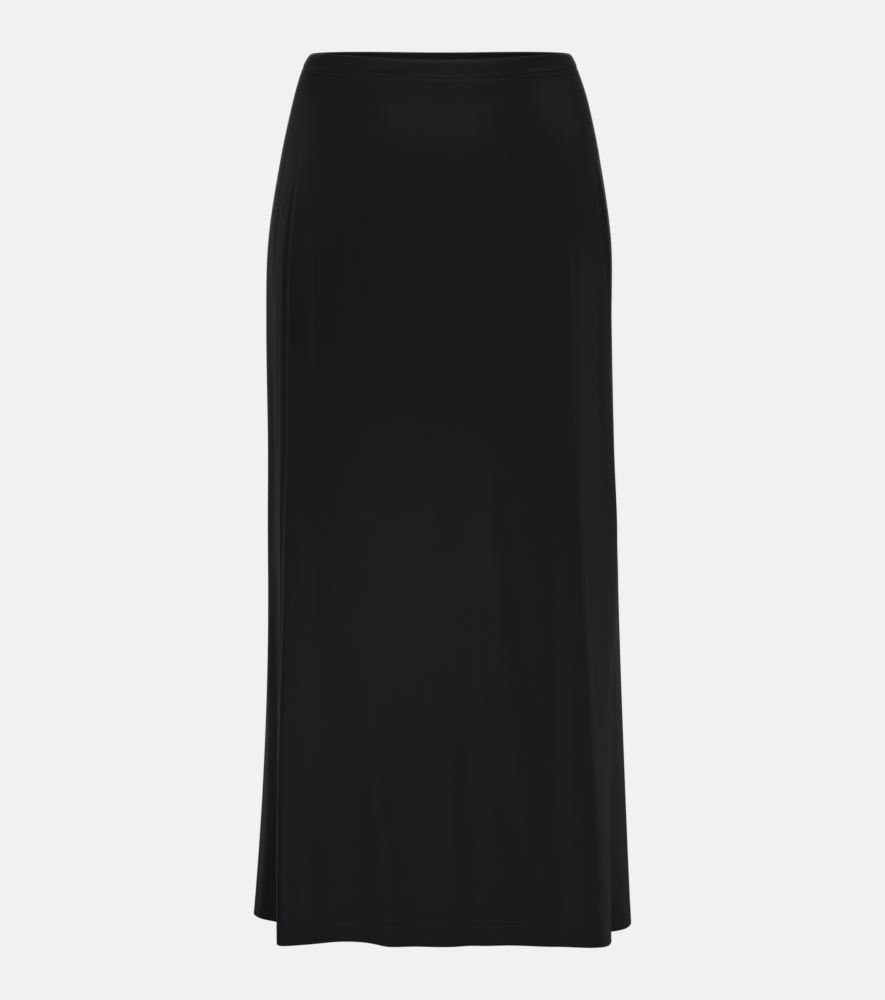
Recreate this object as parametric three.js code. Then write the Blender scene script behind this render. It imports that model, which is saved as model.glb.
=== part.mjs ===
// A long slim pull-on skirt of black jersey, in the hollow form that it keeps when it is worn.
// Units are millimetres. +Z is up, +X is the wearer's left and -Y is the wearer's front.
// The origin is the middle of the waist opening, level with the waist edge at centre front.
import * as THREE from "three";

// Driving dimensions
const LENGTH = 865; // from the waist edge to the hem, straight down
const CASING_DEPTH = 19; // the turned top that holds the elastic
const CASING_WALL = 2.6; // two layers of jersey with the elastic between them
const CLOTH = 1.2; // one layer of jersey
const HEM_DEPTH = 21; // the hem's turning
const HEM_WALL = 2.2; // the jersey and its turning
const HEM_STEP = 2; // height over which the wall thickens into the hem
const SEAM_GAP = 0.3; // between two pieces where they are sewn together
const SIDE_RISE = 2.6; // how far the waist edge climbs from centre front to the sides
const RISE_FADE = 120; // the climb has died out this far below the waist

// How finely the cloth is divided
const PANEL_COLUMNS = 62;
const PANEL_ROWS = 25; // from the casing to the hem's turning
const ROW_CROWDING = 1.25; // above 1 the rows crowd towards the waist
const CASING_COLUMNS = 88;
const ROLL_STEPS = 4; // faces over the casing's rolled top
const GIRTH_STEP = 0.5; // degrees between the points that measure the girth
const ANGLE_NUDGE = 0.05; // degrees, for finding the surface's slope
const DROP_NUDGE = 0.5; // for finding the surface's slope

// The form before its folds, a row for each level down the skirt. right and left are the half
// widths, front and back the depths, and square says how boxy each half is: 2 is an ellipse.
const LEVELS = [
  { drop: 0, right: 128.5, left: 124.5, front: 88, back: 88, squareFront: 2.1, squareBack: 2.1 },
  { drop: 17, right: 137.5, left: 132.5, front: 97, back: 91, squareFront: 2.15, squareBack: 2.1 },
  { drop: 45, right: 146, left: 142, front: 108, back: 97, squareFront: 2.2, squareBack: 2.1 },
  { drop: 100, right: 158.5, left: 154, front: 114, back: 111, squareFront: 2.3, squareBack: 2.15 },
  { drop: 180, right: 171, left: 165.5, front: 115.5, back: 122, squareFront: 2.4, squareBack: 2.2 },
  { drop: 260, right: 173.5, left: 166.5, front: 115, back: 121, squareFront: 2.5, squareBack: 2.3 },
  { drop: 380, right: 172.5, left: 169.5, front: 113, back: 114, squareFront: 2.8, squareBack: 2.4 },
  { drop: 460, right: 173, left: 172.5, front: 112, back: 113.5, squareFront: 3.1, squareBack: 2.5 },
  { drop: 540, right: 173, left: 173, front: 110.5, back: 113, squareFront: 3.4, squareBack: 2.7 },
  { drop: 700, right: 174.5, left: 174.5, front: 108.5, back: 111, squareFront: 4.4, squareBack: 3 },
  { drop: 865, right: 176, left: 175, front: 109.5, back: 112, squareFront: 5.5, squareBack: 3.2 },
];

// The folds, a row for each. from and to are its ends, as drops below the waist, and a fold with
// no "to" runs off the hem. The other columns hold its value at the top, halfway and at the
// bottom: place in degrees round from centre front, with the wearer's right negative, out in
// millimetres, negative for a hollow, and wide, its half width in degrees.
const FOLDS = [
  { name: "right front ridge", from: 60, place: [-66, -61, -54.5], out: [0, 6, 8.5], wide: [9, 10, 10] },
  { name: "its crest", from: 60, place: [-66.5, -61, -56], out: [0, 2, 6], wide: [4, 4, 4] },
  { name: "hollow inside the right ridge", from: 100, to: 420, place: [-61, -57.5, -54], out: [0, -1.4, 0], wide: [5, 6, 6] },
  { name: "right hip fold", from: 60, to: 640, place: [-74, -70, -69], out: [0, 3, 0], wide: [5, 5, 5] },
  { name: "valley behind it", from: 150, to: 700, place: [-79, -75.5, -75], out: [0, -6, 0], wide: [5, 5, 5] },
  { name: "right side flute", from: 520, place: [-88, -91, -94], out: [0, 4, 15], wide: [9, 11, 13] },
  { name: "right side hollow", from: 300, place: [-68, -70, -73], out: [0, -8, -31], wide: [6, 9, 15] },
  { name: "right thigh line", from: 130, to: 330, place: [-54.5, -53.5, -53], out: [0, 0.5, 0], wide: [4, 4, 4] },
  { name: "right hip dip", from: 130, to: 370, place: [-37, -36.5, -34], out: [0, -1.4, 0], wide: [6, 7, 7] },
  { name: "right front hollow", from: 520, place: [-42, -42, -41], out: [0, -3, -7], wide: [10, 14, 19] },
  { name: "right middle ridge", from: 520, place: [-38, -33, -25], out: [0, 2, 2.5], wide: [7, 9, 12] },
  { name: "centre ridge", from: 230, to: 520, place: [-4, -3.3, -3], out: [0, 0.4, 0], wide: [4, 8, 10] },
  { name: "left middle ridge", from: 330, place: [22, 28, 48], out: [0, 3, 4], wide: [6, 11, 14] },
  { name: "left centre hollow", from: 500, place: [10, 16, 20], out: [0, -1.5, -4], wide: [8, 11, 16] },
  { name: "left front ridge", from: 100, place: [55, 55, 55], out: [0, 5, 11.5], wide: [7, 9, 10] },
  { name: "hollow behind the left ridge", from: 300, to: 760, place: [60, 61, 62], out: [0, -3.5, 0], wide: [5, 6, 7] },
  { name: "left side rib", from: 130, to: 640, place: [73, 71, 71], out: [0, 6, 0], wide: [5, 6, 6] },
  { name: "left side hollow", from: 420, place: [72, 70, 69], out: [0, -3.5, -11], wide: [5, 6, 8] },
  { name: "left side flute", from: 430, place: [88, 85, 81], out: [0, 5, 14], wide: [12, 11, 10] },
  { name: "left back hollow", from: 470, place: [102, 99, 96], out: [0, -3, -8], wide: [6, 8, 9] },
  { name: "left back flute", from: 420, place: [118, 115, 111], out: [0, 5, 11], wide: [8, 10, 12] },
  { name: "left seat hollow", from: 440, place: [134, 132, 129], out: [0, -4, -10], wide: [8, 10, 12] },
  { name: "left seat flute", from: 360, place: [155, 153, 150], out: [0, 4, 10], wide: [8, 11, 15] },
  { name: "centre back hollow", from: 340, place: [184, 182, 179], out: [0, -3, -7], wide: [9, 11, 13] },
  { name: "right seat flute", from: 300, place: [206, 203, 202], out: [0, 5, 10], wide: [8, 10, 14] },
  { name: "right seat hollow", from: 440, place: [222, 219, 218], out: [0, -3, -8], wide: [9, 11, 12] },
  { name: "right back flute", from: 400, place: [240, 237, 236], out: [0, 4, 11], wide: [8, 10, 13] },
  { name: "right back hollow", from: 380, place: [256, 253, 251], out: [0, -3, -9], wide: [7, 9, 11] },
];
const FOLD_FADE = 0.2; // share of a fold's length over which it begins and ends

// Where the hem hangs higher than level, or lower where up is negative. place and wide are in
// degrees, as in FOLDS.
const HEM_LIFTS = [
  { place: -88, up: 2.2, wide: 14 },
  { place: -41, up: 3.7, wide: 16 },
  { place: 0, up: -0.6, wide: 16 },
  { place: 33, up: 0.8, wide: 12 },
  { place: 57, up: -1, wide: 10 },
  { place: 82, up: 2.6, wide: 9 },
];
const LIFT_FROM = 680; // the cloth begins to climb or sink towards the hem at this drop

const JERSEY = { color: 0x1b1b1c, roughness: 0.72, metalness: 0 };

const softStep = (t) => {
  const held = THREE.MathUtils.clamp(t, 0, 1);
  return held * held * (3 - 2 * held);
};

// The curve through a value at the top, one halfway and one at the bottom.
const throughThree = ([top, middle, bottom], t) =>
  (1 - t) * (1 - 2 * t) * top + 4 * t * (1 - t) * middle + t * (2 * t - 1) * bottom;

// One column of LEVELS at any drop, on a smooth curve through its rows.
function atLevel(column, drop) {
  const last = LEVELS.length - 1;
  const after = LEVELS.findIndex((row) => row.drop >= drop);
  const end = after < 1 ? (after < 0 ? last : 1) : after;
  const slopeAt = (i) => {
    const before = LEVELS[Math.max(i - 1, 0)];
    const next = LEVELS[Math.min(i + 1, last)];
    return (next[column] - before[column]) / (next.drop - before.drop);
  };
  const [a, b] = [LEVELS[end - 1], LEVELS[end]];
  const span = b.drop - a.drop;
  const t = THREE.MathUtils.clamp((drop - a.drop) / span, 0, 1);
  const keepA = (1 + 2 * t) * (1 - t) ** 2;
  const keepB = t * t * (3 - 2 * t);
  const leaveA = t * (1 - t) ** 2 * span * slopeAt(end - 1);
  const reachB = t * t * (t - 1) * span * slopeAt(end);
  return keepA * a[column] + leaveA + keepB * b[column] + reachB;
}

// How far all the folds together stand out at one place.
function foldsAt(degrees, drop) {
  let out = 0;
  for (const fold of FOLDS) {
    const t = THREE.MathUtils.clamp((drop - fold.from) / ((fold.to ?? LENGTH) - fold.from), 0, 1);
    const begins = softStep(t / FOLD_FADE);
    const ends = fold.to === undefined ? 1 : softStep((1 - t) / FOLD_FADE);
    const away = THREE.MathUtils.euclideanModulo(degrees - throughThree(fold.place, t) + 180, 360) - 180;
    const across = Math.max(0, 1 - (away / throughThree(fold.wide, t)) ** 2);
    out += throughThree(fold.out, t) * begins * ends * across * across;
  }
  return out;
}

// How much higher than level the cloth hangs near the hem.
function hemLift(degrees, drop) {
  let lift = 0;
  for (const { place, up, wide } of HEM_LIFTS) {
    const away = THREE.MathUtils.euclideanModulo(degrees - place + 180, 360) - 180;
    lift += up * Math.max(0, 1 - (away / wide) ** 2) ** 2;
  }
  return lift * softStep((drop - LIFT_FROM) / (LENGTH - LIFT_FROM));
}

// A point on the outside of the skirt.
function skirtPoint(degrees, drop) {
  const angle = THREE.MathUtils.degToRad(degrees);
  const [side, ahead] = [Math.sin(angle), Math.cos(angle)];
  const width = atLevel(side < 0 ? "right" : "left", drop);
  const depth = atLevel(ahead > 0 ? "front" : "back", drop);
  const square = atLevel(ahead > 0 ? "squareFront" : "squareBack", drop);
  const plain = (Math.abs(side / width) ** square + Math.abs(ahead / depth) ** square) ** (-1 / square);
  const radius = plain + foldsAt(degrees, drop);
  const rise = SIDE_RISE * side * side * (1 - softStep(drop / RISE_FADE)) + hemLift(degrees, drop);
  return new THREE.Vector3(radius * side, -radius * ahead, rise - drop);
}

// The same point moved into the cloth, square to the surface.
function insidePoint(degrees, drop, depth) {
  const round = skirtPoint(degrees + ANGLE_NUDGE, drop).sub(skirtPoint(degrees - ANGLE_NUDGE, drop));
  const down = skirtPoint(degrees, drop + DROP_NUDGE).sub(skirtPoint(degrees, drop - DROP_NUDGE));
  const outward = down.cross(round).normalize();
  return skirtPoint(degrees, drop).addScaledVector(outward, -depth);
}

// Angles that part the girth at one level into equal lengths, from one side seam to another.
function evenAngles(from, to, drop, columns, trim) {
  const steps = Math.round((to - from) / GIRTH_STEP);
  const angles = [];
  const girths = [];
  let girth = 0;
  let before = skirtPoint(from, drop);
  for (let i = 0; i <= steps; i += 1) {
    const angle = from + ((to - from) * i) / steps;
    const here = skirtPoint(angle, drop);
    girth += here.distanceTo(before);
    before = here;
    angles.push(angle);
    girths.push(girth);
  }
  return Array.from({ length: columns + 1 }, (_, column) => {
    const wanted = trim + ((girth - 2 * trim) * column) / columns;
    const end = Math.max(1, girths.findIndex((length) => length >= Math.min(wanted, girth)));
    const share = (wanted - girths[end - 1]) / (girths[end] - girths[end - 1]);
    return THREE.MathUtils.lerp(angles[end - 1], angles[end], share);
  });
}

// A closed body from a grid of points whose rows are closed loops round the wall's section.
// Where the columns don't close into a ring, the first and last are capped.
function bodyFromLoops(loops, isRing) {
  const positions = loops.flat().flatMap((point) => point.toArray());
  const around = loops[0].length;
  const index = [];
  const spans = isRing ? loops.length : loops.length - 1;
  for (let i = 0; i < spans; i += 1) {
    const next = (i + 1) % loops.length;
    for (let j = 0; j < around; j += 1) {
      const k = (j + 1) % around;
      const [a, b, c, d] = [i * around + j, next * around + j, next * around + k, i * around + k];
      index.push(a, c, b, a, d, c);
    }
  }
  if (!isRing) {
    const lastLoop = (loops.length - 1) * around;
    for (let j = 0; j < around / 2 - 1; j += 1) {
      const k = around - 1 - j;
      index.push(j, k, k - 1, j, k - 1, j + 1);
      const [e, f, g, h] = [j, j + 1, k - 1, k].map((corner) => lastLoop + corner);
      index.push(e, f, g, e, g, h);
    }
  }
  const geometry = new THREE.BufferGeometry();
  geometry.setAttribute("position", new THREE.Float32BufferAttribute(positions, 3));
  geometry.setIndex(index);
  geometry.computeVertexNormals();
  return geometry;
}

// The drops at which the panels have a row of points.
function panelDrops() {
  const top = CASING_DEPTH + SEAM_GAP;
  const hemTop = LENGTH - HEM_DEPTH - HEM_STEP;
  const drops = Array.from({ length: PANEL_ROWS + 1 }, (_, row) =>
    top + (hemTop - top) * (row / PANEL_ROWS) ** ROW_CROWDING);
  return [...drops, LENGTH - HEM_DEPTH, LENGTH];
}

// A panel from one side seam to the other, given by the angles of its two seams.
function panel(from, to) {
  const rows = panelDrops().map((drop) => {
    const wall = drop >= LENGTH - HEM_DEPTH ? HEM_WALL : CLOTH;
    const angles = evenAngles(from, to, drop, PANEL_COLUMNS, SEAM_GAP / 2);
    return {
      outer: angles.map((angle) => skirtPoint(angle, drop)),
      inner: angles.map((angle) => insidePoint(angle, drop, wall)),
    };
  });
  const loops = Array.from({ length: PANEL_COLUMNS + 1 }, (_, column) => {
    const outside = rows.map((row) => row.outer[column]);
    const inside = rows.map((row) => row.inner[column]).reverse();
    return [...outside, ...inside];
  });
  return bodyFromLoops(loops, false);
}

// The casing's section, from its lower edge inside, over the rolled top, to its lower edge outside.
function casingSection() {
  const roll = CASING_WALL / 2;
  const rollTop = Array.from({ length: ROLL_STEPS + 1 }, (_, step) => {
    const turn = (Math.PI * step) / ROLL_STEPS;
    return { depth: roll + roll * Math.cos(turn), drop: roll - roll * Math.sin(turn) };
  });
  return [
    { depth: CASING_WALL, drop: CASING_DEPTH },
    { depth: CASING_WALL, drop: CASING_DEPTH / 2 },
    ...rollTop,
    { depth: 0, drop: CASING_DEPTH / 2 },
    { depth: 0, drop: CASING_DEPTH },
  ];
}

function casing() {
  const angles = evenAngles(-180, 180, CASING_DEPTH, CASING_COLUMNS, 0).slice(0, -1);
  const section = casingSection();
  const loops = angles.map((angle) => section.map(({ depth, drop }) => insidePoint(angle, drop, depth)));
  return bodyFromLoops(loops, true);
}

const skirt = new THREE.Group();
function addPiece(name, geometry) {
  const piece = new THREE.Mesh(geometry, new THREE.MeshStandardMaterial(JERSEY));
  piece.name = name;
  skirt.add(piece);
}

addPiece("front_panel", panel(-90, 90));
addPiece("back_panel", panel(90, 270));
addPiece("waistband", casing());

export default skirt;
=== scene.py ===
# A long slim pull-on skirt of black jersey, in the hollow form that it keeps on a wearer, who isn't shown.
# The tables and the form are in millimetres. Meshes, lights and the camera are in metres.
import math
from collections import namedtuple

import bpy
import numpy as np
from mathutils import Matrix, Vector

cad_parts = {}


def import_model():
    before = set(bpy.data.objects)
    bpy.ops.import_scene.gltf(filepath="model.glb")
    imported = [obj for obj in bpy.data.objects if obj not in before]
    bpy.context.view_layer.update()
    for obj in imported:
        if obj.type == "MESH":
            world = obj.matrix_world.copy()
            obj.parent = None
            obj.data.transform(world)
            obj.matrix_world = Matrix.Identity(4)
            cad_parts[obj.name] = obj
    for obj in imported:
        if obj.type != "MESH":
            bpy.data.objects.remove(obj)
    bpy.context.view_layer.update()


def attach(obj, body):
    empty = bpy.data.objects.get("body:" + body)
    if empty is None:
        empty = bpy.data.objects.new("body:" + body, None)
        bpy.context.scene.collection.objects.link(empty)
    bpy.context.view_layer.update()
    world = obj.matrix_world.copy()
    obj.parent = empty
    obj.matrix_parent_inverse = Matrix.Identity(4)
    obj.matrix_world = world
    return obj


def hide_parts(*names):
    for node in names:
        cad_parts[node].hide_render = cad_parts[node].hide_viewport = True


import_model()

# ---------------------------------------------------------------- sizes, in millimetres
MM = 0.001
LENGTH = 865.0  # from the waist edge to the hem, straight down
CLOTH = 1.1  # one layer of jersey
CASING_WALL = 2.6  # two layers of jersey with the elastic between them
CASING_INSIDE = 21.5  # how far down inside the turned edge reaches
UPPER_ROW = 14.5  # the two rows of twin stitching below the waist edge
LOWER_ROW = 18.7
HEM_DEPTH = 21.0  # the hem's turning
HEM_WALL = 2.1
SIDE_RISE = 2.6  # how far the waist edge climbs from centre front to the sides
FRONT_RISE = 1.1  # how much higher the stretched edge rides across the front
FRONT_SWELL = 1.2  # and how much more it rises away from the middle
FRONT_ENDS = 25.0  # degrees over which that dies out before the sides
RISE_FADE = 120.0  # both rises fade out down to this drop
SEAM_GAP = 0.12  # between the panels, where the side seam draws them together

# The form before its folds, a row for each level down the skirt. right and left are the half
# widths, front and back the depths, and square says how boxy each half is: 2 is an ellipse.
Level = namedtuple("Level", "drop right left front back square_front square_back")
LEVELS = [
    Level(0, 128.5, 124.5, 88, 88, 2.1, 2.1),
    Level(17, 137.5, 132.5, 97, 91, 2.15, 2.1),
    Level(45, 146, 142, 108, 97, 2.2, 2.1),
    Level(100, 158.5, 154, 114, 111, 2.3, 2.15),
    Level(180, 171, 165.5, 115.5, 122, 2.4, 2.2),
    Level(260, 173.5, 166.5, 115, 121, 2.5, 2.3),
    Level(380, 172.5, 169.5, 113, 114, 2.8, 2.4),
    Level(460, 173, 172.5, 112, 113.5, 3.1, 2.5),
    Level(540, 173, 173, 110.5, 113, 3.4, 2.7),
    Level(700, 174.5, 174.5, 108.5, 111, 4.4, 3),
    Level(865, 176, 175, 109.5, 112, 5.5, 3.2),
]

# The folds. start and end are drops below the waist, and a fold whose end is None runs off the
# hem. place is in degrees round from centre front, the wearer's right negative, out in
# millimetres, negative for a hollow, and wide is half the width in degrees, each at the top,
# halfway and at the bottom.
Fold = namedtuple("Fold", "name start end place out wide")
FOLDS = [
    Fold("right front ridge", 60, None, (-66, -61, -54.5), (0, 6, 8.5), (9, 10, 10)),
    Fold("its crest", 60, None, (-66.5, -61, -56), (0, 2, 6), (4, 4, 4)),
    Fold("hollow inside the right ridge", 100, 420, (-61, -57.5, -54), (0, -1.4, 0), (5, 6, 6)),
    Fold("right hip fold", 60, 640, (-74, -70, -69), (0, 3, 0), (5, 5, 5)),
    Fold("valley behind it", 150, 700, (-79, -75.5, -75), (0, -6, 0), (5, 5, 5)),
    Fold("right side flute", 520, None, (-88, -91, -94), (0, 4, 15), (9, 11, 13)),
    Fold("right side hollow", 300, None, (-68, -70, -73), (0, -8, -31), (6, 9, 15)),
    Fold("right thigh line", 130, 330, (-54.5, -53.5, -53), (0, 0.5, 0), (4, 4, 4)),
    Fold("right hip dip", 130, 370, (-37, -36.5, -34), (0, -1.4, 0), (6, 7, 7)),
    Fold("right front hollow", 520, None, (-42, -42, -41), (0, -3, -7), (10, 14, 19)),
    Fold("right middle ridge", 520, None, (-38, -33, -25), (0, 2, 2.5), (7, 9, 12)),
    Fold("centre ridge", 230, 520, (-4, -3.3, -3), (0, 0.4, 0), (4, 8, 10)),
    Fold("left middle ridge", 330, None, (22, 28, 48), (0, 3, 4), (6, 11, 14)),
    Fold("left centre hollow", 500, None, (10, 16, 20), (0, -1.5, -4), (8, 11, 16)),
    Fold("left front ridge", 100, None, (55, 55, 55), (0, 5, 11.5), (7, 9, 10)),
    Fold("hollow behind the left ridge", 300, 760, (60, 61, 62), (0, -3.5, 0), (5, 6, 7)),
    Fold("left side rib", 130, 640, (73, 71, 71), (0, 6, 0), (5, 6, 6)),
    Fold("left side hollow", 420, None, (72, 70, 69), (0, -3.5, -11), (5, 6, 8)),
    Fold("left side flute", 430, None, (88, 85, 81), (0, 5, 14), (12, 11, 10)),
    Fold("left back hollow", 470, None, (102, 99, 96), (0, -3, -8), (6, 8, 9)),
    Fold("left back flute", 420, None, (118, 115, 111), (0, 5, 11), (8, 10, 12)),
    Fold("left seat hollow", 440, None, (134, 132, 129), (0, -4, -10), (8, 10, 12)),
    Fold("left seat flute", 360, None, (155, 153, 150), (0, 4, 10), (8, 11, 15)),
    Fold("centre back hollow", 340, None, (184, 182, 179), (0, -3, -7), (9, 11, 13)),
    Fold("right seat flute", 300, None, (206, 203, 202), (0, 5, 10), (8, 10, 14)),
    Fold("right seat hollow", 440, None, (222, 219, 218), (0, -3, -8), (9, 11, 12)),
    Fold("right back flute", 400, None, (240, 237, 236), (0, 4, 11), (8, 10, 13)),
    Fold("right back hollow", 380, None, (256, 253, 251), (0, -3, -9), (7, 9, 11)),
]
# Pleat edges, lines and slight drapes in the cloth, too fine for the solids, in the same columns.
CREASES = [
    Fold("groove at the right pleat line", 50, 760, (-66.6, -62.2, -60), (-1, -1.6, -1.2), (1.6, 1.6, 1.6)),
    Fold("fullness behind it", 80, 520, (-69.5, -66.5, -64), (0, 1.8, 0), (4.5, 4.5, 4)),
    Fold("groove at the right hip line", 60, 640, (-75.5, -71, -70), (-1.5, -4.5, -3), (3, 3, 3)),
    Fold("left band edge", 300, None, (54, 54.5, 57), (0.8, 1, 0.6), (3, 3, 4)),
    Fold("left thigh line", 130, 300, (53.2, 53.8, 54.2), (0, 0.8, 0), (2, 2.4, 2)),
    Fold("centre line", 200, 700, (-4, -3.6, -5), (0, 0.5, 0), (2.5, 3, 4)),
    Fold("filling of the right hollow", 560, None, (-45, -42, -39), (0, 1, 2), (7, 8, 9)),
    Fold("filling of the left hollow", 600, None, (20, 21, 22), (0, 0.8, 1.8), (8, 9, 10)),
    Fold("left hip line", 80, 330, (78, 76, 75), (0, 2, 0), (2, 2.4, 2.4)),
    Fold("groove before it", 80, 420, (74, 72, 70.5), (0, -1.4, 0), (3, 3, 3.5)),
]
FOLD_FADE = 0.2  # share of a fold's length over which it begins and ends

# Where the hem hangs higher than level, or lower where up is negative.
Lift = namedtuple("Lift", "place up wide")
HEM_LIFTS = [
    Lift(-88, 2.2, 14),
    Lift(-41, 3.7, 16),
    Lift(0, -0.6, 16),
    Lift(33, 0.8, 12),
    Lift(57, -1, 10),
    Lift(82, 2.6, 9),
]
LIFT_FROM = 680  # the cloth begins to climb or sink towards the hem at this drop


# ---------------------------------------------------------------- the form
def soft_step(t):
    held = np.clip(t, 0, 1)
    return held * held * (3 - 2 * held)


def bell(away, half_width):
    return np.exp(-((away / half_width) ** 2))


def through_three(values, t):
    """The curve through a value at the top, one halfway and one at the bottom."""
    top, middle, bottom = values
    return (1 - t) * (1 - 2 * t) * top + 4 * t * (1 - t) * middle + t * (2 * t - 1) * bottom


def at_level(column, drop):
    """One column of LEVELS at any drop, on a smooth curve through its rows."""
    drops = np.array([level.drop for level in LEVELS], float)
    values = np.array([getattr(level, column) for level in LEVELS], float)
    slopes = np.empty_like(values)
    slopes[1:-1] = (values[2:] - values[:-2]) / (drops[2:] - drops[:-2])
    slopes[0] = (values[1] - values[0]) / (drops[1] - drops[0])
    slopes[-1] = (values[-1] - values[-2]) / (drops[-1] - drops[-2])
    a = np.clip(np.searchsorted(drops, drop, side="right") - 1, 0, len(drops) - 2)
    span = drops[a + 1] - drops[a]
    t = np.clip((drop - drops[a]) / span, 0, 1)
    start = (1 + 2 * t) * (1 - t) ** 2 * values[a] + t * (1 - t) ** 2 * span * slopes[a]
    end = t * t * (3 - 2 * t) * values[a + 1] + t * t * (t - 1) * span * slopes[a + 1]
    return start + end


def folds_at(folds, degrees, drop):
    """How far the folds together stand out at each place."""
    out = np.zeros(np.broadcast(degrees, drop).shape)
    for fold in folds:
        end = LENGTH if fold.end is None else fold.end
        t = np.clip((drop - fold.start) / (end - fold.start), 0, 1)
        fade = soft_step(t / FOLD_FADE)
        if fold.end is not None:
            fade = fade * soft_step((1 - t) / FOLD_FADE)
        away = (degrees - through_three(fold.place, t) + 180) % 360 - 180
        across = np.clip(1 - (away / through_three(fold.wide, t)) ** 2, 0, None)
        out += through_three(fold.out, t) * fade * across**2
    return out


def hem_lift(degrees, drop):
    """How much higher than level the cloth hangs near the hem."""
    up = np.zeros(np.broadcast(degrees, drop).shape)
    for lift in HEM_LIFTS:
        away = (degrees - lift.place + 180) % 360 - 180
        up += lift.up * np.clip(1 - (away / lift.wide) ** 2, 0, None) ** 2
    return up * soft_step((drop - LIFT_FROM) / (LENGTH - LIFT_FROM))


def skirt_points(degrees, drop):
    """Points on the outside of the skirt."""
    angle = np.radians(degrees)
    side, ahead = np.sin(angle), np.cos(angle)
    width = np.where(side < 0, at_level("right", drop), at_level("left", drop))
    depth = np.where(ahead > 0, at_level("front", drop), at_level("back", drop))
    square = np.where(ahead > 0, at_level("square_front", drop), at_level("square_back", drop))
    plain = (np.abs(side / width) ** square + np.abs(ahead / depth) ** square) ** (-1 / square)
    radius = plain + folds_at(FOLDS, degrees, drop) + folds_at(CREASES, degrees, drop)
    from_front = np.abs((degrees + 180) % 360 - 180)
    across_front = FRONT_RISE * (1 + FRONT_SWELL * side * side) * soft_step((90 - from_front) / FRONT_ENDS)
    at_waist = (SIDE_RISE * side * side + across_front) * (1 - soft_step(drop / RISE_FADE))
    rise = at_waist + hem_lift(degrees, drop)
    return np.stack([radius * side, -radius * ahead, rise - drop], -1)


NEAR_DEGREES = 0.05  # how far off the points lie that say which way the cloth faces
NEAR_DROP = 0.5


def outward(degrees, drop):
    """Which way the cloth faces at each place."""
    round_it = skirt_points(degrees + NEAR_DEGREES, drop) - skirt_points(degrees - NEAR_DEGREES, drop)
    down = skirt_points(degrees, drop + NEAR_DROP) - skirt_points(degrees, drop - NEAR_DROP)
    normal = np.cross(down, round_it)
    return normal / np.linalg.norm(normal, axis=-1, keepdims=True)


GIRTH_STEP = 0.25  # degrees between the points that measure the girth


def girths(start, end, drops):
    """Angles from start to end, and the girth from start to each of them at each drop."""
    angles = np.linspace(start, end, int(round((end - start) / GIRTH_STEP)) + 1)
    points = skirt_points(angles[None, :], drops[:, None])
    steps = np.linalg.norm(np.diff(points, axis=1), axis=-1)
    return angles, np.concatenate([np.zeros((len(drops), 1)), np.cumsum(steps, axis=1)], axis=1)


# ---------------------------------------------------------------- meshes
def new_object(name, points, faces, corners_uv=None):
    mesh = bpy.data.meshes.new(name)
    mesh.from_pydata((points * MM).tolist(), [], faces)
    if corners_uv is not None:
        layer = mesh.uv_layers.new(name="Cloth")
        layer.data.foreach_set("uv", (corners_uv * MM).astype(np.float32).ravel())
    mesh.polygons.foreach_set("use_smooth", np.ones(len(mesh.polygons), bool))
    mesh.update()
    piece = bpy.data.objects.new(name, mesh)
    bpy.context.collection.objects.link(piece)
    return piece


def wall_faces(columns, around, is_ring):
    """Faces of a wall whose columns of points are closed loops round its section, with the column i
    and point j that each starts from, and the column n and point k after them."""
    spans = columns if is_ring else columns - 1
    i = np.repeat(np.arange(spans), around)
    j = np.tile(np.arange(around), spans)
    k = (j + 1) % around
    n = (i + 1) % columns
    faces = np.stack([i * around + j, i * around + k, n * around + k, n * around + j], -1)
    return faces, i, j, n, k


def wall(name, loops, across, along, is_ring=False, girth=0.0, inside_from=None):
    """A closed wall from loops[column, point]. across and along are the cloth's own measures there.
    Faces from the point inside_from onwards are the cloth's inner face."""
    columns, around = loops.shape[:2]
    faces, i, j, n, k = wall_faces(columns, around, is_ring)
    wrap = np.where(i == columns - 1, girth, 0.0)
    corners = np.stack(
        [
            np.stack([across[i, j], along[i, j]], -1),
            np.stack([across[i, k], along[i, k]], -1),
            np.stack([across[n, k] + wrap, along[n, k]], -1),
            np.stack([across[n, j] + wrap, along[n, j]], -1),
        ],
        1,
    ).reshape(-1, 2)
    faces = faces.tolist()
    if not is_ring:
        last = (columns - 1) * around
        caps = []
        for a in range(around // 2 - 1):
            b = around - 1 - a
            caps.append([a, b, b - 1, a + 1])
            caps.append([last + a, last + a + 1, last + b - 1, last + b])
        faces += caps
        flat = [index for cap in caps for index in cap]
        edge_uv = np.stack([across.reshape(-1)[flat], along.reshape(-1)[flat]], -1)
        corners = np.concatenate([corners, edge_uv])
    piece = new_object(name, loops.reshape(-1, 3), faces, corners)
    if inside_from is not None:
        face_sides = np.zeros(len(faces), np.int32)
        face_sides[: len(j)] = j >= inside_from
        piece.data.polygons.foreach_set("material_index", face_sides)
    return piece


# ---------------------------------------------------------------- front and back
FOLDED_SIDE = 0.27  # share of the front's girth at each side that has the narrow folds
SIDE_COLUMNS = 112
MIDDLE_COLUMNS = 72
BACK_COLUMNS = 150
EDGE_STEPS = np.array([0.0, 0.12, 0.4, 0.8, 1.4, 2.4])  # columns close to a side seam
SEAM_TUCK = 0.9  # how deep the cloth turns in at a side seam
SEAM_REACH = 1.6  # and from how far off
HEM_LINE = LENGTH - HEM_DEPTH
HEM_DIMPLE = 0.12  # the hem's turning shows outside as a slight line and step
DIMPLE_HALF_WIDTH = 0.9
HEM_FULLNESS = 0.1
FULLNESS_REACH = 2.5
EDGE_ROUND = 1.05  # radius of the hem's fold
TUCK_AT_CASING = 0.22  # how deep the panels dip at the lower row of twin stitching
TUCK_HALF_WIDTH = 0.7
PUFF = 0.1  # the cloth's slight fullness under that row, how far below it and how wide
PUFF_BELOW = 2.6
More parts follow.
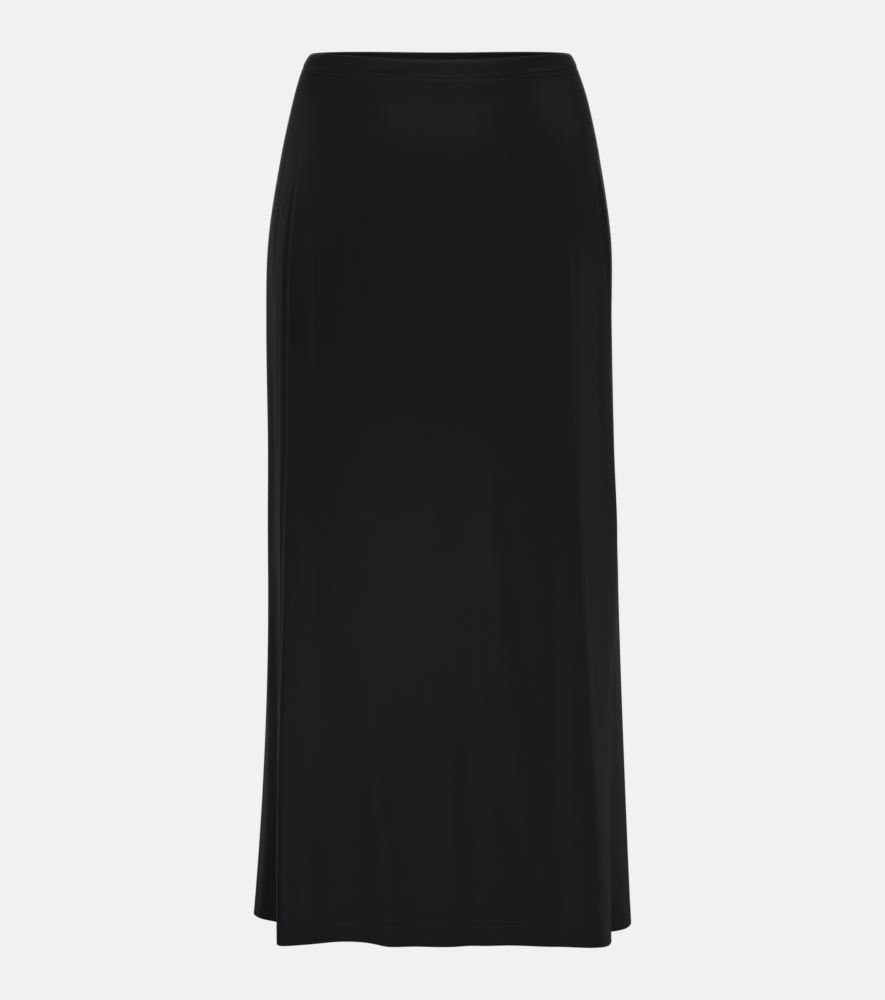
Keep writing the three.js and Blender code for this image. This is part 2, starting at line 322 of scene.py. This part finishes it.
PUFF_HALF_WIDTH = 1.6
TURNING_STEP = 0.8  # the wall thickens to the hem's over this drop
CASING_GAP = 0.05  # between the casing's edge and the panels' top
BODY_ROWS = 124
TURNING_ROWS = 5
# Drops of the close rows: down from a panel's top, either side of the hem's line, up from the edge.
TOP_STEPS = np.array([0.0, 0.15, 0.4, 0.8, 1.4, 2.2, 3.4, 5.0, 7.0])
LINE_STEPS = np.array([-5.0, -3.4, -2.2, -1.4, -0.8, -0.35, 0, 0.35, 0.8, 1.5, 2.6, 4.2])
HEM_STEPS = np.array([2.0, 1.2, 0.75, 0.45, 0.22, 0.07, 0.0])


def panel_drops():
    """Rows of points down a panel, close together at the casing and the hem."""
    near_top = LOWER_ROW + CASING_GAP + TOP_STEPS
    body = np.linspace(near_top[-1], HEM_LINE - 7, BODY_ROWS)[1:]
    near_line = HEM_LINE + LINE_STEPS
    turning = np.linspace(near_line[-1], LENGTH - 3, TURNING_ROWS)[1:]
    return np.concatenate([near_top, body, near_line, turning, LENGTH - HEM_STEPS])


def relief(drop):
    """How far the outside stands out at the casing's stitching and along the hem."""
    at_casing = -TUCK_AT_CASING * bell(drop - LOWER_ROW, TUCK_HALF_WIDTH)
    below_it = PUFF * bell(drop - LOWER_ROW - PUFF_BELOW, PUFF_HALF_WIDTH)
    at_hem = -HEM_DIMPLE * bell(drop - HEM_LINE, DIMPLE_HALF_WIDTH)
    fullness = HEM_FULLNESS * soft_step((drop - HEM_LINE) / FULLNESS_REACH)
    return at_casing + below_it + at_hem + fullness


def front_columns():
    """Shares of the girth at which the front has a column, close together in its folded sides."""
    side = np.linspace(0, FOLDED_SIDE, SIDE_COLUMNS)
    middle = np.linspace(FOLDED_SIDE, 1 - FOLDED_SIDE, MIDDLE_COLUMNS)
    return np.concatenate([side, middle[1:-1], 1 - side[::-1]])


def panel(name, start, end, columns):
    """One panel, from a side seam to the next, as a closed wall with its hem turned in."""
    drops = panel_drops()
    angles, lengths = girths(start, end, drops)
    totals = lengths[:, -1]
    shares = []
    for total in totals:
        trimmed = total - SEAM_GAP
        inner = EDGE_STEPS[-1] + (trimmed - 2 * EDGE_STEPS[-1]) * columns[1:-1]
        shares.append(np.concatenate([EDGE_STEPS, inner, trimmed - EDGE_STEPS[::-1]]) + SEAM_GAP / 2)
    wanted = np.array(shares)
    degrees = np.array([np.interp(w, row, angles) for w, row in zip(wanted, lengths)])
    drop_grid = np.repeat(drops[:, None], degrees.shape[1], axis=1)
    surface = skirt_points(degrees, drop_grid)
    normal = outward(degrees, drop_grid)

    from_edge = np.minimum(wanted, totals[:, None] - wanted)
    tuck = SEAM_TUCK * np.clip(1 - from_edge / SEAM_REACH, 0, 1) ** 2
    rise = EDGE_ROUND - (LENGTH - drop_grid)
    rounding = np.where(rise > 0, EDGE_ROUND - np.sqrt(np.clip(EDGE_ROUND**2 - rise**2, 0, None)), 0)
    outer = surface + normal * (relief(drop_grid) - tuck - rounding)[..., None]
    turned = soft_step((drop_grid - HEM_LINE + TURNING_STEP / 2) / TURNING_STEP)
    thickness = CLOTH + (HEM_WALL - CLOTH) * turned
    inner = surface - normal * (thickness + tuck - rounding)[..., None]

    # loops[column, point]: down the outside, round the hem's fold and up the inside
    loops = np.concatenate([outer, inner[::-1]]).transpose(1, 0, 2)
    middle = totals[:, None] / 2
    across = np.concatenate([wanted - middle, (wanted - middle)[::-1]]).T
    along = np.concatenate([drop_grid, 2 * LENGTH - drop_grid[::-1]]).T
    return wall(name, loops, across, along, inside_from=len(drops))


front = panel("front_jersey", -90, 90, front_columns())
back = panel("back_jersey", 90, 270, np.linspace(0, 1, BACK_COLUMNS))

# ---------------------------------------------------------------- waist casing
CASING_COLUMNS = 370
CASING_CLOTH = 0.8  # its cloth is drawn thin over the elastic
ROLL = CASING_WALL / 2
ROW_DIP = 0.17  # how deep each row of twin stitching pulls in
ROW_HALF_WIDTH = 0.75
RIB_FULLNESS = 0.08  # the rib between the two rows
RIB_HALF_WIDTH = 1.1
ELASTIC_FULLNESS = 0.8  # the casing's swell over the elastic
SWELL_REACH = 4.0  # and the drop over which it rises and sinks
INNER_RELIEF = 0.35  # the share of the relief and gathers that reaches the casing's inside
CUT_EDGE = 0.35  # the turned cloth's edge is rounded by this much
# The gathers along the elastic: how many there are round the waist, how high, and where they start.
Gather = namedtuple("Gather", "count height start")
GATHERS = [Gather(97, 0.10, 0.4), Gather(64, 0.12, 2.1), Gather(41, 0.12, 4.0)]
UNEVENNESS = Gather(5, 0.35, 1.3)  # they grow and shrink by this share of their height
HEIGHT_AT_TOP = 0.35  # share of their height at the folded top, and the drops where it grows to all
GROWS_FROM = 2.0
GROWS_OVER = 8.0


def casing_relief(drop):
    """How far the casing stands out over its elastic and rib, and dips at its two rows of stitching."""
    rows = sum(bell(drop - row, ROW_HALF_WIDTH) for row in (UPPER_ROW, LOWER_ROW))
    rib = bell(drop - (UPPER_ROW + LOWER_ROW) / 2, RIB_HALF_WIDTH)
    swell = soft_step(drop / SWELL_REACH) * soft_step((UPPER_ROW - drop) / SWELL_REACH)
    return RIB_FULLNESS * rib + ELASTIC_FULLNESS * swell - ROW_DIP * rows


def wave(gather, share):
    return gather.height * np.sin(2 * math.pi * gather.count * share + gather.start)


def gathers(share, drop):
    """Small upright puckers along the elastic, deepest beside the stitching."""
    heights = sum(wave(gather, share) for gather in GATHERS)
    uneven = 1 - UNEVENNESS.height + wave(UNEVENNESS, share)
    near_rows = HEIGHT_AT_TOP + (1 - HEIGHT_AT_TOP) * soft_step((drop - GROWS_FROM) / GROWS_OVER)
    return heights * uneven * near_rows


def rolled(radius, turns):
    """Points over the casing's top at one radius. A turn of 90 faces outside and -90 inside."""
    return [
        (ROLL - radius * math.sin(math.radians(turn)), ROLL - radius * math.cos(math.radians(turn)))
        for turn in turns
    ]


def casing_section():
    """Depth and drop of each point round the folded cloth: down its outside face, back up its inner
    faces over the elastic, down behind it and up the inside to the top again."""
    outside = [1.8, 2.6, 3.5, 5, 6.5, 8, 9.5, 11, 12.5]
    outside += [UPPER_ROW + step for step in (-1.3, -0.7, -0.3, 0, 0.3, 0.7, 1.3, 2.1, 2.9, 3.5, 3.9)]
    hidden = [LOWER_ROW - 0.5, 13, 8, 3]
    inside = [CASING_INSIDE - 0.4, 20, 18.7, 17, 15.5, 14, 12, 9, 6.5, 4, 2.2]
    edge = LOWER_ROW - 0.04
    section = rolled(ROLL, (0, 22.5, 45, 67.5, 90))
    section += [(0.0, drop) for drop in outside] + [(0.0, edge), (CASING_CLOTH, edge)]
    section += [(CASING_CLOTH, drop) for drop in hidden]
    section += rolled(ROLL - CASING_CLOTH, (90, 45, 0, -45, -90))
    section += [(CASING_WALL - CASING_CLOTH, drop) for drop in reversed(hidden)]
    section += [(CASING_WALL - CASING_CLOTH, CASING_INSIDE), (CASING_WALL - CUT_EDGE, CASING_INSIDE)]
    section += [(CASING_WALL, drop) for drop in inside] + rolled(ROLL, (-90, -67.5, -45, -22.5))
    return np.array(section)


def waist_casing():
    section = casing_section()
    depth, drop = section[:, 0], section[:, 1]
    angles, lengths = girths(-180, 180, np.array([LOWER_ROW]))
    girth = lengths[0, -1]
    share = np.arange(CASING_COLUMNS) / CASING_COLUMNS
    degrees = np.interp(share * girth, lengths[0], angles)[:, None]
    degree_grid = np.repeat(degrees, len(section), axis=1)
    drop_grid = np.repeat(drop[None, :], CASING_COLUMNS, axis=0)
    lift = casing_relief(drop_grid) + gathers(share[:, None], drop_grid)
    lift = np.where(depth[None, :] < ROLL, lift, INNER_RELIEF * lift)
    surface = skirt_points(degree_grid, drop_grid)
    loops = surface + outward(degree_grid, drop_grid) * (lift - depth)[..., None]
    across = np.repeat((share * girth)[:, None], len(section), axis=1)
    along = np.where(depth < ROLL, drop, -drop)[None, :].repeat(CASING_COLUMNS, axis=0)
    innermost = int(np.argmax(depth >= CASING_WALL - CUT_EDGE))
    return wall("waist_casing", loops, across, along, is_ring=True, girth=girth, inside_from=innermost)


casing = waist_casing()


# ---------------------------------------------------------------- thread
THREAD = 0.17  # radius of the sewing thread
THREAD_SIDES = 6
RING_SHARES = np.array([0.0, 0.14, 0.5, 0.86, 1.0])  # where a stitch has its rings
RING_SIZES = np.array([0.5, 1.0, 1.0, 1.0, 0.5])
RING_LIFTS = np.array([-0.28, 0.02, 0.1, 0.02, -0.28])  # its ends go down into the cloth


def stitches(name, starts, ends, normals, radius=THREAD):
    """Short lengths of thread from each start to its end, as one mesh."""
    count = len(starts)
    line = ends - starts
    direction = line / np.linalg.norm(line, axis=-1, keepdims=True)
    sideways = np.cross(direction, normals)
    sideways /= np.linalg.norm(sideways, axis=-1, keepdims=True)
    upward = np.cross(sideways, direction)
    turn = 2 * math.pi * np.arange(THREAD_SIDES) / THREAD_SIDES
    along = starts[:, None] + line[:, None] * RING_SHARES[:, None]
    centres = along + upward[:, None] * RING_LIFTS[:, None]
    spokes = sideways[:, None] * np.cos(turn)[:, None] + upward[:, None] * np.sin(turn)[:, None]
    rings = centres[:, :, None] + spokes[:, None] * (RING_SIZES * radius)[:, None, None]
    points = rings.reshape(-1, 3)
    ring_count = len(RING_SHARES)
    faces = []
    for ring in range(ring_count - 1):
        for side in range(THREAD_SIDES):
            other = (side + 1) % THREAD_SIDES
            low, high = ring * THREAD_SIDES, (ring + 1) * THREAD_SIDES
            faces.append([low + side, high + side, high + other, low + other])
    first = list(range(THREAD_SIDES))
    last = [(ring_count - 1) * THREAD_SIDES + side for side in reversed(range(THREAD_SIDES))]
    one = np.array(faces)
    offsets = np.arange(count)[:, None, None] * ring_count * THREAD_SIDES
    quads = (one[None] + offsets).reshape(-1, 4).tolist()
    ends_of = (np.array([first, last])[None] + offsets).reshape(-1, THREAD_SIDES).tolist()
    return new_object(name, points, quads + ends_of)


def row_places(start, end, drop, pitch):
    """The angles and girths at one drop, and the girths at the middles of even steps along them."""
    angles, lengths = girths(start, end, np.array([drop]))
    total = lengths[0, -1]
    count = int(total / pitch)
    middles = (np.arange(count) + 0.5) * total / count
    return angles, lengths[0], middles


def on_cloth(degrees, drop, lift):
    return skirt_points(degrees, drop) + outward(degrees, drop) * np.asarray(lift)[..., None]


def straight_row(start, end, drop, pitch, length, lift, skew=0.0):
    """Starts, ends and normals of a row of stitches. skew drops each stitch's end below its start."""
    angles, lengths, middles = row_places(start, end, drop, pitch)
    a = np.interp(middles - length / 2, lengths, angles)
    b = np.interp(middles + length / 2, lengths, angles)
    drops_a = np.full_like(a, drop - skew / 2)
    drops_b = np.full_like(b, drop + skew / 2)
    lifts = np.full_like(a, lift)
    facing = outward((a + b) / 2, np.full_like(a, drop))
    return on_cloth(a, drops_a, lifts), on_cloth(b, drops_b, lifts), facing


def joined(*rows):
    return [np.concatenate(parts) for parts in zip(*rows)]


STITCH_PITCH = 3.0
STITCH_LENGTH = 2.35
STITCH_LIFT = THREAD - ROW_DIP + 0.02  # the thread lies just clear of its dip
twin_stitching = stitches(
    "waist_twin_stitching",
    *joined(
        straight_row(-180, 180, UPPER_ROW, STITCH_PITCH, STITCH_LENGTH, STITCH_LIFT),
        straight_row(-180, 180, LOWER_ROW, STITCH_PITCH, STITCH_LENGTH, STITCH_LIFT),
    ),
)


def inward(row):
    """The same stitches seen from inside: their normals point into the skirt."""
    starts, ends, normals = row
    return starts, ends, -normals


def zigzag(start, end, drop, height, pitch, depth):
    """Looper thread on the inside, up and down from one drop to height below it."""
    middle = drop + height / 2
    lift = -(depth + THREAD)
    up = straight_row(start, end, middle, pitch, pitch / 2, lift, skew=height)
    down = straight_row(start, end, middle, pitch, pitch / 2, lift, skew=-height)
    return joined(inward(up), inward(down))


looper_thread = stitches(
    "waist_looper_thread",
    *zigzag(-180, 180, UPPER_ROW, LOWER_ROW - UPPER_ROW, STITCH_PITCH, CASING_WALL),
)

HEM_PICK_PITCH = 6.5
HEM_PICK = 0.9  # how much of each blind stitch shows outside
PICK_THREAD = THREAD * 0.7
PICK_LIFT = THREAD * 0.6 - HEM_DIMPLE
HEM_LOOPER_TOP = HEM_LINE - 1.2
HEM_LOOPER_HEIGHT = 3.4
HEM_LOOPER_PITCH = 3.6
hem_picks = stitches(
    "hem_picks",
    *straight_row(-180, 180, HEM_LINE, HEM_PICK_PITCH, HEM_PICK, PICK_LIFT),
    radius=PICK_THREAD,
)
hem_looper = stitches(
    "hem_looper_thread",
    *zigzag(-180, 180, HEM_LOOPER_TOP, HEM_LOOPER_HEIGHT, HEM_LOOPER_PITCH, HEM_WALL),
)


# ---------------------------------------------------------------- side seams
ALLOWANCE = 7.0  # both edges overlocked together and pressed to the back
ALLOWANCE_WALL = 1.5
ALLOWANCE_GAP = 0.15  # between the panel and the allowance
ALLOWANCE_ROWS = 150
ALLOWANCE_TOP = CASING_INSIDE + 0.4
ALLOWANCE_END = HEM_LINE + 3
ALLOWANCE_RIM = 0.4  # how much its far edge is rounded
TUCK_INSIDE = 0.6  # the share of the seam's tuck that its inner face follows
SEAM_VIEW = 20  # degrees either side of a seam in which its girth is measured
OVERLOCK_PITCH = 3.0
OVERLOCK_SLANT = 1.6
OVERLOCK_NEAR = 2.2  # how far from the seam each slanting thread begins and ends
OVERLOCK_FAR = 6.6


def seam_allowance(name, seam, towards):
    """The overlocked edges inside a side seam. towards is 1 where the back lies at larger angles."""
    drops = np.linspace(ALLOWANCE_TOP, ALLOWANCE_END, ALLOWANCE_ROWS)
    offsets = np.array([-1.1, -0.6, 0.5, 2.0, 4.0, 5.8, ALLOWANCE - 0.3, ALLOWANCE]) * towards
    angles, lengths = girths(seam - SEAM_VIEW, seam + SEAM_VIEW, drops)
    degrees = []
    for row in lengths:
        at_seam = np.interp(seam, angles, row)
        degrees.append(np.interp(at_seam + offsets, row, angles))
    degrees = np.array(degrees)
    if towards < 0:
        degrees = degrees[:, ::-1]
    drop_grid = np.repeat(drops[:, None], degrees.shape[1], axis=1)
    surface = skirt_points(degrees, drop_grid)
    normal = outward(degrees, drop_grid)
    from_seam = np.abs(offsets if towards > 0 else offsets[::-1])
    tuck = SEAM_TUCK * np.clip(1 - from_seam / SEAM_REACH, 0, 1) ** 2
    rim = np.where(from_seam == ALLOWANCE, ALLOWANCE_RIM, 0.0)
    top = CLOTH + ALLOWANCE_GAP + tuck + rim
    bottom = CLOTH + ALLOWANCE_GAP + ALLOWANCE_WALL + TUCK_INSIDE * tuck - rim
    outer = surface - normal * top[None, :, None]
    inner = surface - normal * bottom[None, :, None]
    loops = np.concatenate([outer, inner[::-1]]).transpose(1, 0, 2)
    across = np.repeat(np.arange(1.0, len(offsets) + 1)[:, None], 2 * len(drops), axis=1)
    along = np.repeat(np.concatenate([drops, drops[::-1]])[None, :], len(offsets), axis=0)
    return wall(name, loops, across, along)


def places_beside(at_seam, offset, lengths, angles):
    """The angle at one offset along the girth from the seam, for each row."""
    return np.array([np.interp(place + offset, row, angles) for place, row in zip(at_seam, lengths)])


def overlock_thread(name, seam, towards):
    """Slanting threads over the allowance's edge, seen from inside."""
    drops = np.arange(CASING_INSIDE + OVERLOCK_PITCH, HEM_LINE - 1, OVERLOCK_PITCH)
    angles, lengths = girths(seam - SEAM_VIEW, seam + SEAM_VIEW, drops)
    at_seam = np.array([np.interp(seam, angles, row) for row in lengths])
    near = places_beside(at_seam, OVERLOCK_NEAR * towards, lengths, angles)
    far = places_beside(at_seam, OVERLOCK_FAR * towards, lengths, angles)
    lift = np.full(len(drops), -(CLOTH + ALLOWANCE_GAP + ALLOWANCE_WALL + THREAD))
    starts, ends = on_cloth(near, drops, lift), on_cloth(far, drops + OVERLOCK_SLANT, lift)
    return stitches(name, starts, ends, -outward((near + far) / 2, drops))


right_allowance = seam_allowance("right_seam_allowance", -90, -1)
left_allowance = seam_allowance("left_seam_allowance", 90, 1)
right_overlock = overlock_thread("right_seam_overlock", -90, -1)
left_overlock = overlock_thread("left_seam_overlock", 90, 1)


# ---------------------------------------------------------------- materials
WALE = 0.00072  # metres between the jersey's upright ribs of stitches
COURSE = 0.00052  # and between its rows
ARM_SLANT = 1.3  # courses that each stitch's arms climb from one wale to the next
LOOP_BASE = 2.2  # the stitches' loops stand on this height, and this share of it all is relief
LOOP_SHARE = 0.3


def links_of(material):
    tree = material.node_tree
    return tree.nodes, tree.links


def node(nodes, kind, inputs=None, **settings):
    made = nodes.new(kind)
    for name, value in settings.items():
        setattr(made, name, value)
    for name, value in (inputs or {}).items():
        made.inputs[name].default_value = value
    return made


def calculate(nodes, links, operation, a, b=None):
    made = node(nodes, "ShaderNodeMath", operation=operation)
    for socket, value in zip(made.inputs, (a, b)):
        if value is None:
            continue
        if isinstance(value, (int, float)):
            socket.default_value = value
        else:
            links.new(value, socket)
    return made.outputs[0]


def knit_height(nodes, links):
    """The V-shaped stitches of fine jersey, from the cloth's own measures."""
    cloth = node(nodes, "ShaderNodeUVMap", uv_map="Cloth")
    parts = node(nodes, "ShaderNodeSeparateXYZ")
    links.new(cloth.outputs["UV"], parts.inputs[0])
    wale = calculate(nodes, links, "DIVIDE", parts.outputs["X"], WALE)
    course = calculate(nodes, links, "DIVIDE", parts.outputs["Y"], COURSE)
    across = calculate(nodes, links, "PINGPONG", wale, 0.5)
    slant = calculate(nodes, links, "MULTIPLY", across, ARM_SLANT)
    phase = calculate(nodes, links, "MULTIPLY", calculate(nodes, links, "ADD", course, slant), 2 * math.pi)
    loop = calculate(nodes, links, "SINE", phase)
    arm_phase = calculate(nodes, links, "MULTIPLY", wale, 2 * math.pi)
    arm = calculate(nodes, links, "ABSOLUTE", calculate(nodes, links, "SINE", arm_phase))
    raised = calculate(nodes, links, "ADD", loop, LOOP_BASE)
    loops = calculate(nodes, links, "MULTIPLY", raised, LOOP_SHARE)
    return calculate(nodes, links, "MULTIPLY", arm, loops)


def jersey(name, tone, specular):
    material = bpy.data.materials.new(name)
    material.use_nodes = True
    nodes, links = links_of(material)
    shader = nodes["Principled BSDF"]
    place = node(nodes, "ShaderNodeTexCoord").outputs["Object"]

    mottle = node(nodes, "ShaderNodeTexNoise", {"Scale": 9.0, "Detail": 5.0})
    links.new(place, mottle.inputs["Vector"])
    colours = node(nodes, "ShaderNodeValToRGB")
    colours.color_ramp.elements[0].position = 0.3
    colours.color_ramp.elements[1].position = 0.7
    colours.color_ramp.elements[0].color = (*[0.92 * c for c in tone], 1)
    colours.color_ramp.elements[1].color = (*[1.08 * c for c in tone], 1)
    links.new(mottle.outputs["Fac"], colours.inputs["Fac"])
    links.new(colours.outputs["Color"], shader.inputs["Base Color"])
    roughness = node(nodes, "ShaderNodeMapRange", {"To Min": 0.34, "To Max": 0.42})
    links.new(mottle.outputs["Fac"], roughness.inputs["Value"])
    links.new(roughness.outputs["Result"], shader.inputs["Roughness"])

    knit = node(nodes, "ShaderNodeBump", {"Strength": 0.35, "Distance": 0.00012})
    links.new(knit_height(nodes, links), knit.inputs["Height"])
    ripple = node(nodes, "ShaderNodeTexNoise", {"Scale": 60.0, "Detail": 3.0})
    links.new(place, ripple.inputs["Vector"])
    waver = node(nodes, "ShaderNodeBump", {"Strength": 0.25, "Distance": 0.0006})
    links.new(ripple.outputs["Fac"], waver.inputs["Height"])
    links.new(knit.outputs["Normal"], waver.inputs["Normal"])
    links.new(waver.outputs["Normal"], shader.inputs["Normal"])

    shader.inputs["Specular IOR Level"].default_value = specular
    return material


def thread(name, tone):
    material = bpy.data.materials.new(name)
    material.use_nodes = True
    nodes, links = links_of(material)
    shader = nodes["Principled BSDF"]
    shader.inputs["Base Color"].default_value = (*tone, 1)
    place = node(nodes, "ShaderNodeTexCoord").outputs["Object"]
    twist = node(nodes, "ShaderNodeTexWave", {"Scale": 900.0}, bands_direction="DIAGONAL")
    links.new(place, twist.inputs["Vector"])
    bump = node(nodes, "ShaderNodeBump", {"Strength": 0.4, "Distance": 0.00005})
    links.new(twist.outputs["Fac"], bump.inputs["Height"])
    links.new(bump.outputs["Normal"], shader.inputs["Normal"])
    shader.inputs["Roughness"].default_value = 0.42
    return material


black_jersey = jersey("jersey", (0.0093, 0.0077, 0.0103), 0.15)
# The wrong side is duller, as the real cloth's is. Its tone, about five times the right side's, is painted
# light: it makes the inside look lit where the lamps give it little light.
wrong_side_painted_lighter = jersey("jersey_wrong_side_painted_lighter", (0.046, 0.040, 0.047), 0.05)
black_thread = thread("thread", (0.010, 0.0094, 0.0102))


# ---------------------------------------------------------------- what each piece is
def goes_with_the_skirt(piece, material):
    piece.data.materials.append(material)
    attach(piece, "root")


for piece in (front, back, right_allowance, left_allowance):
    goes_with_the_skirt(piece, black_jersey)
for piece in (right_overlock, left_overlock, hem_picks, hem_looper):
    goes_with_the_skirt(piece, black_thread)
goes_with_the_skirt(casing, black_jersey)
for piece in (twin_stitching, looper_thread):
    goes_with_the_skirt(piece, black_thread)
# The inner faces take the wrong side's material, whose lighter tone is painted light.
for piece in (front, back, casing):
    piece.data.materials.append(wrong_side_painted_lighter)
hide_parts("front_panel")
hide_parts("back_panel")
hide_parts("waistband")


# ---------------------------------------------------------------- studio
PALE = 0.88  # how bright the ground and the air round it look
WALL_BOUNCE = 0.13  # and how much light they give the cloth
FLOOR_BOUNCE = 0.155
FLOOR_BELOW_HEM = 1.035  # metres
FLOOR_RADIUS = 60.0
FLOOR_CORNERS = 96


def shown_pale(nodes, links, surface, bounce):
    """The ground is evenly pale to the eye, and gives the cloth only as much light as bounce says."""
    pale = node(nodes, surface, {"Color": (PALE, PALE, PALE, 1)})
    dim = node(nodes, surface, {"Color": (bounce, bounce, bounce, 1)})
    seen = node(nodes, "ShaderNodeLightPath")
    mix = node(nodes, "ShaderNodeMixShader")
    links.new(seen.outputs["Is Camera Ray"], mix.inputs["Fac"])
    links.new(dim.outputs[0], mix.inputs[1])
    links.new(pale.outputs[0], mix.inputs[2])
    return mix.outputs[0]


def world():
    made = bpy.data.worlds.new("studio")
    bpy.context.scene.world = made
    made.use_nodes = True
    nodes, links = made.node_tree.nodes, made.node_tree.links
    nodes.clear()
    out = node(nodes, "ShaderNodeOutputWorld")
    links.new(shown_pale(nodes, links, "ShaderNodeBackground", WALL_BOUNCE), out.inputs["Surface"])


def floor():
    bpy.ops.object.select_all(action="DESELECT")
    height = -LENGTH * MM - FLOOR_BELOW_HEM
    bpy.ops.mesh.primitive_circle_add(
        vertices=FLOOR_CORNERS, radius=FLOOR_RADIUS, fill_type="NGON", location=(0, 0, height)
    )
    made = bpy.context.object
    made.name = "floor"
    material = bpy.data.materials.new("pale_floor")
    material.use_nodes = True
    nodes, links = links_of(material)
    nodes.clear()
    out = node(nodes, "ShaderNodeOutputMaterial")
    links.new(shown_pale(nodes, links, "ShaderNodeEmission", FLOOR_BOUNCE), out.inputs["Surface"])
    made.data.materials.append(material)


# The soft boxes. round is degrees from in front of the skirt, its right negative; up is degrees
# above level; away is how far off it stands and height the height it aims at, in metres; size is
# in metres, power in watts, and spread is how wide its grid lets the light out, in degrees.
SoftBox = namedtuple("SoftBox", "name round up away height size power spread")
SOFT_BOXES = [
    SoftBox("right_back_box", -122, 0, 3.0, -0.5, (1.0, 1.6), 2.6, 180),
    SoftBox("right_side_box", -90, 0, 2.0, -0.1, (1.0, 1.2), 1.8, 180),
    SoftBox("right_front_box", -56, 0, 3.0, -0.5, (1.4, 2.2), 4.6, 180),
    SoftBox("right_high_box", -70, 40, 2.5, -0.05, (0.8, 0.8), 2.6, 180),
    SoftBox("right_hip_box", -46, 22, 2.5, -0.12, (1.0, 0.8), 1.5, 180),
    SoftBox("left_back_box", 108, 0, 1.6, -0.8, (1.0, 1.0), 0.6, 180),
    SoftBox("left_side_box", 84, 0, 1.6, -0.8, (1.0, 1.0), 1.9, 180),
    SoftBox("left_front_box", 56, 0, 1.6, -0.75, (1.0, 1.0), 2.1, 180),
    SoftBox("left_high_box", 84, 24, 2.5, -0.2, (0.8, 0.8), 4.6, 180),
    SoftBox("left_hip_box", 46, 18, 2.5, -0.14, (1.0, 0.8), 1.6, 180),
    SoftBox("front_box", 0, 0, 4.5, -0.4, (4.0, 2.8), 10.5, 180),
    SoftBox("front_low_box", 0, -25, 3.0, -0.45, (2.4, 0.8), 6.0, 180),
    SoftBox("front_high_box", 0, 45, 3.0, -0.3, (1.0, 1.0), 3.8, 180),
    SoftBox("top_box", 0, 80, 2.5, 0.0, (1.5, 1.5), 15.0, 180),
    SoftBox("back_box", 180, 6, 4.0, -0.4, (2.4, 2.4), 13.0, 180),
    SoftBox("belly_light", -2, 20, 3.0, -0.09, (0.2, 0.2), 0.018, 6),
    SoftBox("knee_light", -5, 0, 3.0, -0.48, (0.4, 0.4), 0.03, 10),
    SoftBox("shin_light", -22, 0, 3.0, -0.85, (0.8, 0.8), 0.15, 18),
]


def soft_box(row):
    turn, rise = math.radians(row.round), math.radians(row.up)
    away = Vector((math.sin(turn) * math.cos(rise), -math.cos(turn) * math.cos(rise), math.sin(rise)))
    light = bpy.data.lights.new(row.name, "AREA")
    light.shape = "RECTANGLE"
    light.size, light.size_y = row.size
    light.energy = row.power
    light.spread = math.radians(row.spread)
    lamp = bpy.data.objects.new(row.name, light)
    bpy.context.collection.objects.link(lamp)
    lamp.location = Vector((0, 0, row.height)) + away * row.away
    lamp.rotation_euler = (-away).to_track_quat("-Z", "Y").to_euler()
    lamp.visible_camera = False


world()
floor()
for row in SOFT_BOXES:
    soft_box(row)

# ---------------------------------------------------------------- camera
CAMERA_DISTANCE = 4.0
CAMERA_HEIGHT = 0.183
CAMERA_TILT = 8.826  # degrees below level
CAMERA_LENS = 146.9
camera = bpy.data.objects.new("camera", bpy.data.cameras.new("camera"))
bpy.context.collection.objects.link(camera)
camera.location = (0, -CAMERA_DISTANCE, CAMERA_HEIGHT)
camera.rotation_euler = (math.radians(90 - CAMERA_TILT), 0, 0)
camera.data.lens = CAMERA_LENS
bpy.context.scene.camera = camera
bpy.context.scene.view_settings.view_transform = "Standard"
